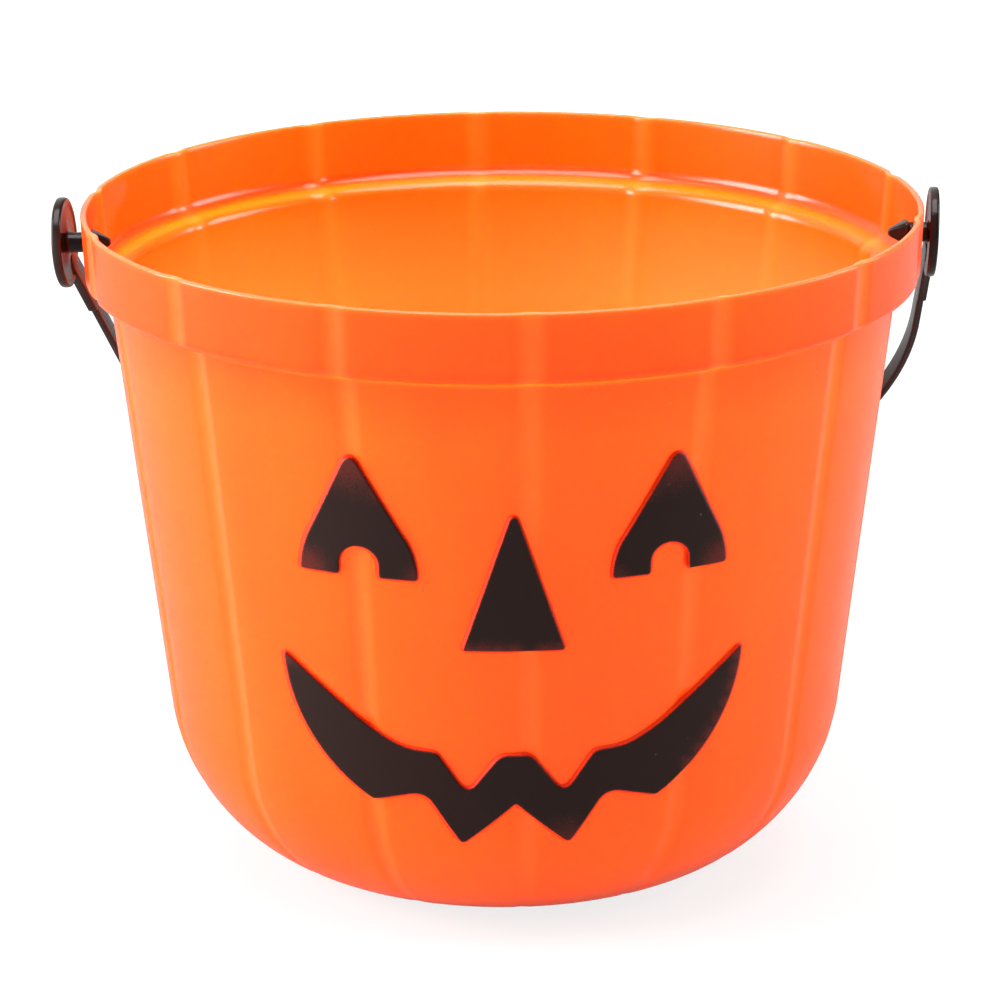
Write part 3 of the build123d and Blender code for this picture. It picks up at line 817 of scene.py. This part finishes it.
def strap_surface(strap):
    """A rounded bar, its narrow edges standing out at the parting line, carried along the middle line.

    Next to the discs the section grows outwards and wider into the tab, which ends in a rounded step.
    """
    h = strap.sizes
    line, normal, gone = strap.middle_line()
    tab_end = h.disc_radius + h.tab_length
    tab_middle, tab_half = (tab_end + h.disc_radius / 2) / 2, (tab_end - h.disc_radius / 2) / 2
    tab = np.clip(0.5 - (np.abs(gone - tab_middle) - tab_half) / (TAB_STEP * h.tab_thickness), 0, 1)
    tab = tab**2 * (3 - 2 * tab)
    n = ROUND_POINTS
    quarter = np.linspace(0, pi / 2, n)
    turn = np.concatenate([quarter + k * pi / 2 for k in range(4)])
    outer = np.repeat([1, -1, -1, 1], n)
    upper = np.repeat([1, 1, -1, -1], n)
    thick = h.strap_thickness / 2 + np.outer(tab, outer > 0) * h.tab_thickness
    wide = (h.strap_width + tab * (h.tab_width - h.strap_width))[:, None] / 2 - h.strap_draft
    out = outer * (thick - h.strap_round) + h.strap_round * np.cos(turn)
    proud = upper * (wide - h.strap_round) + h.strap_round * np.sin(turn)
    middle = np.zeros((len(line), 1))
    ridge = wide + h.strap_draft
    out = np.concatenate([out[:, :n], middle, out[:, n:-n], middle, out[:, -n:]], axis=1)
    proud = np.concatenate([proud[:, :n], ridge, proud[:, n:-n], -ridge, proud[:, -n:]], axis=1)
    flat = line[:, None, :] + normal[:, None, :] * out[..., None]
    grid = strap.place(flat[..., 0], flat[..., 1], proud)
    ends = [strap.place(*line[k], 0.0) for k in (0, -1)]
    points, quads, fans = closed_grid(grid, *ends)
    corner = np.zeros(grid.shape[:2])
    corner[:, EDGE_COLUMNS] = 1
    return points, quads.tolist() + fans.tolist(), np.concatenate([corner.ravel(), [0, 0]])


def end_surface(h, end):
    """Disc, pin and barb of one end: a profile of radius against side, turned about the pin's axis.

    The barb's section is squared off, |y|^n + |z|^n = 1 with n growing from 2 to 5. Past the wall the
    pin bends, so that the disc is turned about the upright and leans.
    """
    side = -1 if end == "left" else 1
    kinds = ("barb", "face", "reach", "turn", "lean", "rise")
    barb, face, reach, turn, lean, rise = [getattr(h, f"{end}_{kind}") for kind in kinds]
    tip = h.disc_radius * hypot(sin(turn), sin(lean))
    face = min(face, reach - h.disc_thickness - tip)
    back = face + h.disc_thickness
    corners = [
        (back - h.disc_dish, MIDDLE_SHARE * h.disc_radius),
        (back - h.disc_dish, OUTER_DISH_SHARES[0] * h.disc_radius),
        (back, OUTER_DISH_SHARES[1] * h.disc_radius),
        (back, h.disc_radius),
        (face, h.disc_radius),
        (face, INNER_DISH_SHARES[0] * h.disc_radius),
        (face + h.disc_dish, INNER_DISH_SHARES[1] * h.disc_radius),
        (face + h.disc_dish, h.pin_radius),
        (barb, h.pin_radius),
        (barb, h.barb_radius),
        (barb - h.barb_length, h.barb_tip),
        (barb - h.barb_length, MIDDLE_SHARE * h.barb_tip),
    ]
    along, radius = rounded_line(corners, h.disc_round).T
    t = np.linspace(0, 2 * pi, DISC_COLUMNS, endpoint=False)
    inside = np.clip((barb + h.barb_blend - along) / MM, 0, 1)[:, None]
    squared = ROUND_POWER + (SQUARE_POWER - ROUND_POWER) * inside
    norm = (np.abs(np.cos(t)) ** squared + np.abs(np.sin(t)) ** squared) ** (1 / squared)
    y = side * radius[:, None] / norm * np.cos(t)
    z = radius[:, None] / norm * np.sin(t)
    straight_end = barb + h.bend_start
    bent = np.clip((along - straight_end) / (face - straight_end), 0, 1)[:, None] ** 2
    out = along[:, None] + bent * (z * sin(lean) - y * sin(turn))
    middle = h.pin_height + rise
    grid = np.stack([side * out, y, middle + z], axis=-1)
    ends = [(side * along[k], 0.0, middle) for k in (0, -1)]
    points, quads, fans = closed_grid(grid, *ends)
    edge_mix = np.exp(-((radius - h.disc_radius) / h.edge_wear) ** 2) * (along > face - MM)
    edge_mix = np.repeat(edge_mix[:, None], len(t), axis=1)
    return points, quads.tolist() + fans.tolist(), np.concatenate([edge_mix.ravel(), [0, 0]])


def node(tree, kind, **settings):
    """A new node of a tree, with some of its own settings."""
    made = tree.nodes.new(kind)
    for key, value in settings.items():
        setattr(made, key, value)
    return made


def feed(tree, inputs, values):
    """Each value goes to the input of its name or number: a socket is linked, anything else is set."""
    for key, value in values.items():
        if isinstance(value, bpy.types.NodeSocket):
            tree.links.new(value, inputs[key])
        else:
            inputs[key].default_value = value


def arrange(tree):
    """Nodes stand in columns, each to the left of those that it feeds."""
    column = {made.name: 0 for made in tree.nodes}
    for _ in tree.nodes:
        for wire in tree.links:
            start, end = wire.from_node.name, wire.to_node.name
            column[start] = max(column[start], column[end] + 1)
    filled = {}
    for made in tree.nodes:
        place = column[made.name]
        made.location = -NODE_WIDTH * place, -NODE_HEIGHT * filled.get(place, 0)
        filled[place] = filled.get(place, 0) + 1


def new_group(name, inputs, outputs):
    """An empty shader group with float sockets: its tree, the sockets that feed it and those it feeds."""
    tree = bpy.data.node_groups.new(name, "ShaderNodeTree")
    for label, value in inputs.items():
        socket = tree.interface.new_socket(label, in_out="INPUT", socket_type="NodeSocketFloat")
        socket.default_value = value
    for label in outputs:
        tree.interface.new_socket(label, in_out="OUTPUT", socket_type="NodeSocketFloat")
    return tree, node(tree, "NodeGroupInput").outputs, node(tree, "NodeGroupOutput").inputs


def noise(tree, vector, scale, detail=2.0):
    """A noise texture read at a vector socket; scale is a number or a socket."""
    made = node(tree, "ShaderNodeTexNoise")
    feed(tree, made.inputs, {"Vector": vector, "Scale": scale, "Detail": detail})
    return made.outputs["Fac"]


def calc(tree, operation, *values, clamp=False):
    """A math node; each value is a number or a socket."""
    made = node(tree, "ShaderNodeMath", operation=operation, use_clamp=clamp)
    feed(tree, made.inputs, dict(enumerate(values)))
    return made.outputs[0]


def spread(tree, value, low, high, to_low=0.0, to_high=1.0):
    """Smooth step of a value between low and high."""
    made = node(tree, "ShaderNodeMapRange", interpolation_type="SMOOTHSTEP")
    ends = {"From Min": low, "From Max": high, "To Min": to_low, "To Max": to_high}
    feed(tree, made.inputs, {"Value": value, **ends})
    return made.outputs["Result"]


def mix(tree, factor, first, second):
    """Mix of two colours, each a colour value or a socket."""
    made = node(tree, "ShaderNodeMix", data_type="RGBA")
    tree.links.new(factor, made.inputs["Factor"])
    for number, value in ((MIX_FIRST, first), (MIX_SECOND, second)):
        full = value if isinstance(value, bpy.types.NodeSocket) else (*value, 1)
        feed(tree, made.inputs, {number: full})
    return made.outputs[MIX_RESULT]


def moulding_marks():
    """Group for moulded plastic: slow upright flow marks, fine skin texture and rare scratches."""
    tree, inside, outside = new_group(
        "Moulding Marks",
        {"Flow Scale": 30.0, "Skin Scale": 1400.0, "Gloss": 0.3, "Gloss Spread": 0.06, "Scratches": 1.0},
        ("Flow", "Roughness", "Height"),
    )
    where = node(tree, "ShaderNodeTexCoord").outputs["Object"]
    tall = node(tree, "ShaderNodeMapping")
    feed(tree, tall.inputs, {"Vector": where, "Scale": (1.0, 1.0, FLOW_STRETCH)})
    upright = tall.outputs["Vector"]
    flow = noise(tree, upright, inside["Flow Scale"], detail=3.0)
    skin = noise(tree, where, inside["Skin Scale"])
    slow = noise(tree, where, scale=45.0)
    lines = noise(tree, upright, scale=900.0, detail=1.0)
    scratch = calc(tree, "MULTIPLY", spread(tree, lines, low=0.7, high=0.76), inside["Scratches"])
    gloss = calc(tree, "MULTIPLY_ADD", slow, inside["Gloss Spread"], inside["Gloss"])
    rough = calc(tree, "MULTIPLY_ADD", scratch, SCRATCH_ROUGHNESS, gloss, clamp=True)
    bumps = calc(tree, "MULTIPLY_ADD", slow, SLOW_BUMPS, skin)
    height = calc(tree, "MULTIPLY_ADD", scratch, SCRATCH_HEIGHT, bumps)
    tone = spread(tree, flow, low=0.36, high=0.66)
    feed(tree, outside, {"Flow": tone, "Roughness": rough, "Height": height})
    arrange(tree)
    return tree


def settled_dust():
    """Group for dust: a scatter of tiny specks, more where a slow noise is high."""
    tree, inside, outside = new_group("Settled Dust", {"Amount": 0.3}, ("Specks",))
    where = node(tree, "ShaderNodeTexCoord").outputs["Object"]
    cells = node(tree, "ShaderNodeTexVoronoi", feature="F1")
    feed(tree, cells.inputs, {"Vector": where, "Scale": 220.0})
    specks = spread(tree, cells.outputs["Distance"], low=0.1, high=0.04)
    drift = spread(tree, noise(tree, where, scale=60.0), low=0.52, high=0.64)
    picked = calc(tree, "MULTIPLY", specks, drift)
    feed(tree, outside, {"Specks": calc(tree, "MULTIPLY", picked, inside["Amount"], clamp=True)})
    arrange(tree)
    return tree


def shared(make):
    """The node group that a function makes, made once and then found again by its title."""
    title = make.__name__.replace("_", " ").title()
    return bpy.data.node_groups.get(title) or make()


def new_material(name):
    """A material with a Principled BSDF and nothing else: itself, its tree and the shader's inputs."""
    material = bpy.data.materials.new(name)
    material.use_nodes = True
    tree = material.node_tree
    return material, tree, tree.nodes["Principled BSDF"].inputs


def use_group(tree, make, **values):
    """A shared group placed in a material, with its own values."""
    made = node(tree, "ShaderNodeGroup", node_tree=shared(make))
    feed(tree, made.inputs, {label.replace("_", " ").title(): value for label, value in values.items()})
    return made.outputs


def bumped(tree, height, strength, distance):
    """Normal from a height."""
    made = node(tree, "ShaderNodeBump")
    feed(tree, made.inputs, {"Height": height, "Strength": strength, "Distance": distance})
    return made.outputs["Normal"]


def attribute(tree, name):
    """A point attribute of the piece's own mesh."""
    return node(tree, "ShaderNodeAttribute", attribute_name=name).outputs["Fac"]


def orange_plastic(finish):
    """Glossy, slightly translucent orange: deeper on the band, painted shade below the ledge, painted light
    along the grooves, a painted sheen deep inside, and paler on the lip.
    """
    material, tree, shader = new_material("Orange Plastic")
    marks = use_group(tree, moulding_marks, flow_scale=26.0, gloss=0.17, gloss_spread=0.1, scratches=0.06)
    dust = use_group(tree, settled_dust, amount=0.12)
    flow = calc(tree, "MULTIPLY", marks["Flow"], finish.flow_share)
    # Deeper band and painted shade below the ledge, with the flow marks
    band = attribute(tree, "thick")
    thick = calc(tree, "MULTIPLY_ADD", band, finish.thick_share, flow, clamp=True)
    body = mix(tree, thick, finish.orange, finish.deep_orange)
    # Painted light along the grooves
    valley = calc(tree, "MULTIPLY", attribute(tree, "valley"), finish.groove_share)
    lit = mix(tree, valley, body, finish.thin_orange)
    # Painted sheen deep inside
    pale = mix(tree, attribute(tree, "milky"), lit, finish.milky_orange)
    edge_mix = calc(tree, "MULTIPLY", attribute(tree, "wear"), finish.wear_share)
    edged = mix(tree, edge_mix, pale, finish.scuffed_orange)
    feed(tree, shader, {
        "Base Color": mix(tree, dust["Specks"], edged, finish.scuffed_orange),
        "Roughness": marks["Roughness"],
        "Normal": bumped(tree, marks["Height"], strength=0.1, distance=0.15 * MM),
        "Specular IOR Level": 0.46,
        "Subsurface Weight": 1.0,
        "Subsurface Radius": (1.0, 0.7, 0.3),
        "Subsurface Scale": 9.0 * MM,
    })
    arrange(tree)
    return material


def black_plastic(finish):
    """Glossy brown-black plastic: flow marks, greyer rubbed edges and dust."""
    material, tree, shader = new_material("Black Plastic")
    marks = use_group(tree, moulding_marks, flow_scale=60.0, gloss=0.13, gloss_spread=0.1)
    dust = use_group(tree, settled_dust, amount=0.35)
    rubbed = calc(tree, "MULTIPLY", attribute(tree, "wear"), marks["Flow"])
    base = mix(tree, rubbed, finish.handle_black, finish.handle_grey)
    feed(tree, shader, {
        "Base Color": mix(tree, dust["Specks"], base, finish.handle_grey),
        "Roughness": marks["Roughness"],
        "Normal": bumped(tree, marks["Height"], strength=0.15, distance=0.2 * MM),
        "Specular IOR Level": 0.28,
    })
    arrange(tree)
    return material


def face_paint(finish):
    """Sprayed satin black on orange plateaus: speckled along its edges, dark red where the coat is thin,
    and painted shade, a dark red, on the bare sides of the plateaus.
    """
    material, tree, shader = new_material("Face Paint")
    where = node(tree, "ShaderNodeTexCoord").outputs["Object"]
    dust = use_group(tree, settled_dust, amount=0.12)
    grain = noise(tree, where, scale=2600.0)
    cloud = noise(tree, where, scale=260.0)
    jitter = calc(tree, "MULTIPLY_ADD", grain, SPECKLE, -SPECKLE / 2)
    ragged = calc(tree, "ADD", attribute(tree, "edge"), jitter)
    reach = spread(tree, ragged, low=-0.3, high=0.05)
    depth = calc(tree, "SUBTRACT", FULL_COAT - PATCHINESS / 2, attribute(tree, "thin"))
    coat = calc(tree, "MULTIPLY_ADD", grain, PATCHINESS, depth)
    full = spread(tree, coat, low=0.1, high=0.75)
    soft = spread(tree, ragged, low=-0.25, high=0.4)
    cover = calc(tree, "MULTIPLY", full, soft)
    film = mix(tree, cover, finish.paint_thin, finish.paint_black)
    # Painted shade on the bare sides of the plateaus
    edge_mix = mix(tree, reach, finish.edge_red, film)
    feed(tree, shader, {
        "Base Color": mix(tree, dust["Specks"], edge_mix, finish.scuffed_orange),
        "Roughness": calc(tree, "MULTIPLY_ADD", cloud, SATIN_SPREAD, SATIN),
        "Normal": bumped(tree, grain, strength=0.2, distance=0.12 * MM),
        "Specular IOR Level": 0.16,
    })
    arrange(tree)
    return material


def settings():
    """The scene's property groups."""
    scene = bpy.context.scene
    return scene.pail_shell, scene.pail_face, scene.pail_handle, scene.pail_finish, scene.pail_stage


class PAIL_OT_shell(bpy.types.Operator):
    """Orange lobed shell with its rim band, ledge, rounded bottom and pin holes"""

    bl_idname = "pail.shell"
    bl_label = "Pail Shell"

    def execute(self, context):
        sizes, _, handle, finish, _ = settings()
        points, faces, marks = shell_surface(Shell(sizes), handle.pin_height)
        piece = make_piece("pail_shell", points, faces, orange_plastic(finish), SHELL_CREASE, **marks)
        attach(piece, "pail")
        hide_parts("pail_body")
        return {"FINISHED"}


class PAIL_OT_face(bpy.types.Operator):
    """Raised and painted eyes, nose and mouth"""

    bl_idname = "pail.face"
    bl_label = "Painted Face"

    def execute(self, context):
        sizes, f, _, finish, _ = settings()
        shell = Shell(sizes)
        paint = face_paint(finish)
        eye, eye_spots = eye_line(f), placed(f, eye_point, EYE_THIN)
        edge_spots = [
            (*place, GRIN_THIN_REACH * MM, GRIN_THIN_STRENGTH)
            for place in grin_edge(f)[GRIN_THIN_POINTS]
        ]
        shapes = {
            "left_eye": (mirrored(eye), [(-x, *rest) for x, *rest in eye_spots]),
            "right_eye": (eye, eye_spots),
            "nose": (nose_line(f), placed(f, nose_point, NOSE_THIN)),
            "mouth": (mouth_line(f), placed(f, mouth_point, MOUTH_THIN) + edge_spots),
        }
        for name, (line, spots) in shapes.items():
            points, faces, edge = plateau_surface(line, shell, f)
            thin = thin_spots(points, spots)
            piece = make_piece(name + "_paint", points, faces, paint, FACE_CREASE, edge=edge, thin=thin)
            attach(piece, "pail")
            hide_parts(name)
        return {"FINISHED"}


class PAIL_OT_handle(bpy.types.Operator):
    """Black strap with its tabs, end discs, pins and barbs"""

    bl_idname = "pail.handle"
    bl_label = "Strap Handle"

    def execute(self, context):
        _, _, h, finish, _ = settings()
        black = black_plastic(finish)
        strap = Strap(h)
        made = {
            "handle_strap": strap_surface(strap),
            "handle_left_end": end_surface(h, "left"),
            "handle_right_end": end_surface(h, "right"),
        }
        for name, (points, faces, wear) in made.items():
            piece = make_piece(name, points, faces, black, HANDLE_CREASE, wear=wear)
            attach(piece, "handle")
            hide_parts("handle")
        return {"FINISHED"}


def add_lamp(name, place, size, reflected, watts, aim):
    """A soft box at a place, turned towards a point, that may be kept out of reflections."""
    data = bpy.data.lights.new(name, "AREA")
    data.shape = "RECTANGLE"
    data.size, data.size_y = size
    data.energy = watts
    lamp = bpy.data.objects.new(name, data)
    lamp.location = place
    lamp.visible_glossy = reflected
    lamp.rotation_euler = (Vector(aim) - Vector(place)).to_track_quat("-Z", "Y").to_euler()
    bpy.context.scene.collection.objects.link(lamp)


def add_camera(stage):
    """Camera on a circle round the aim, raised, rolled and turned as the settings say."""
    level, rise = cos(stage.elevation), sin(stage.elevation)
    right, up = Vector((1, 0, 0)), Vector((0, rise, level))
    back = Vector((0, -level, rise))
    tilt, lean = cos(stage.roll), sin(stage.roll)
    rolled = right * tilt + up * lean, up * tilt - right * lean
    turn = Matrix.Rotation(stage.yaw, 3, "Z")
    aim = Vector((stage.aim_side, 0, stage.aim_height))
    axes = [turn @ axis for axis in (*rolled, back)]
    place = turn @ (aim + back * stage.distance)
    data = bpy.data.cameras.new("camera")
    data.sensor_width = 36
    data.lens = stage.lens
    data.clip_start, data.clip_end = 0.05, 50
    camera = bpy.data.objects.new("camera", data)
    camera.matrix_world = Matrix.LocRotScale(place, Matrix(axes).transposed().to_quaternion(), None)
    bpy.context.scene.collection.objects.link(camera)
    bpy.context.scene.camera = camera


def ray_kinds(tree):
    """Two sockets: 1 for rays from the camera, and 1 for rays that come by way of a mirror or glass."""
    path = node(tree, "ShaderNodeLightPath").outputs
    return path["Is Camera Ray"], calc(tree, "MAXIMUM", path["Is Glossy Ray"], path["Is Transmission Ray"])


def pale_floor():
    """White floor that keeps a soft shadow: where it is seen it glows by itself, more so far away."""
    material, tree, shader = new_material("Pale Floor")
    seen, mirror = ray_kinds(tree)
    away = node(tree, "ShaderNodeVectorMath", operation="LENGTH")
    feed(tree, away.inputs, {0: node(tree, "ShaderNodeTexCoord").outputs["Object"]})
    far = spread(tree, away.outputs["Value"], low=0.3, high=1.0, to_low=0.81)
    bright = calc(tree, "MULTIPLY", seen, far)
    feed(tree, shader, {
        "Base Color": mix(tree, calc(tree, "MAXIMUM", seen, mirror), FLOOR_TONE, FLOOR_SEEN_TONE),
        "Emission Strength": calc(tree, "MULTIPLY_ADD", mirror, FLOOR_GLOW, bright),
        "Emission Color": (1, 1, 1, 1),
        "Roughness": 0.9,
        "Specular IOR Level": 0.0,
    })
    arrange(tree)
    return material


def studio_world(ambience):
    """White where it is seen, an even light on the object; its reflection fades away from the backdrop."""
    world = bpy.data.worlds.new("studio")
    bpy.context.scene.world = world
    world.use_nodes = True
    tree = world.node_tree
    seen, mirror = ray_kinds(tree)
    way = node(tree, "ShaderNodeSeparateXYZ")
    feed(tree, way.inputs, {"Vector": node(tree, "ShaderNodeTexCoord").outputs["Generated"]})
    behind = spread(tree, way.outputs["Y"], low=0.1, high=0.9, to_low=0.35)
    right = spread(tree, way.outputs["X"], low=0.0, high=0.6, to_low=1.0, to_high=0.08)
    brighter = calc(tree, "SUBTRACT", calc(tree, "MULTIPLY", behind, right), ambience)
    lit = calc(tree, "MULTIPLY_ADD", mirror, brighter, ambience)
    strength = calc(tree, "MAXIMUM", lit, seen)
    feed(tree, tree.nodes["Background"].inputs, {"Color": (1, 1, 1, 1), "Strength": strength})
    arrange(tree)


class PAIL_OT_stage(bpy.types.Operator):
    """Pale floor, soft boxes, world and camera"""

    bl_idname = "pail.stage"
    bl_label = "Studio"

    def execute(self, context):
        stage = settings()[-1]
        context.scene.view_settings.view_transform = "Standard"
        corners = np.array([(-1, -1, 0), (1, -1, 0), (1, 1, 0), (-1, 1, 0)]) * FLOOR_HALF
        floor = make_piece("floor", corners, [[0, 1, 2, 3]], pale_floor(), SHELL_CREASE)
        aim = (0, 0, stage.aim_height)
        for name, place, size, reflected in SOFT_BOXES:
            add_lamp(name, place, size, reflected, getattr(stage, f"{name}_power"), aim)
        studio_world(stage.ambience)
        add_camera(stage)
        return {"FINISHED"}


class PAIL_PT_panel(bpy.types.Panel):
    """Sizes, finishes and pieces of the pail"""

    bl_idname = "PAIL_PT_panel"
    bl_label = "Pumpkin Pail"
    bl_space_type = "VIEW_3D"
    bl_region_type = "UI"
    bl_category = "Pail"

    def draw(self, context):
        for operator in OPERATORS:
            self.layout.operator(operator.bl_idname)
        for name in GROUPS:
            box = self.layout.box()
            for key in getattr(context.scene, name).__annotations__:
                box.prop(getattr(context.scene, name), key)


GROUPS = {
    "pail_shell": ShellSizes,
    "pail_face": FaceSizes,
    "pail_handle": HandleSizes,
    "pail_finish": Finishes,
    "pail_stage": StageSettings,
}
OPERATORS = (PAIL_OT_shell, PAIL_OT_face, PAIL_OT_handle, PAIL_OT_stage)
CLASSES = (*GROUPS.values(), *OPERATORS, PAIL_PT_panel)


def register():
    """Makes the classes known, and gives each scene its property groups."""
    for made in CLASSES:
        bpy.utils.register_class(made)
    for name, kind in GROUPS.items():
        setattr(bpy.types.Scene, name, PointerProperty(type=kind))


def unregister():
    """Takes away what register() added."""
    for name in GROUPS:
        delattr(bpy.types.Scene, name)
    for made in reversed(CLASSES):
        bpy.utils.unregister_class(made)


def main():
    """Registers the classes and builds every piece."""
    register()
    bpy.ops.pail.shell()
    bpy.ops.pail.face()
    bpy.ops.pail.handle()
    bpy.ops.pail.stage()


if __name__ == "__main__":
    main()
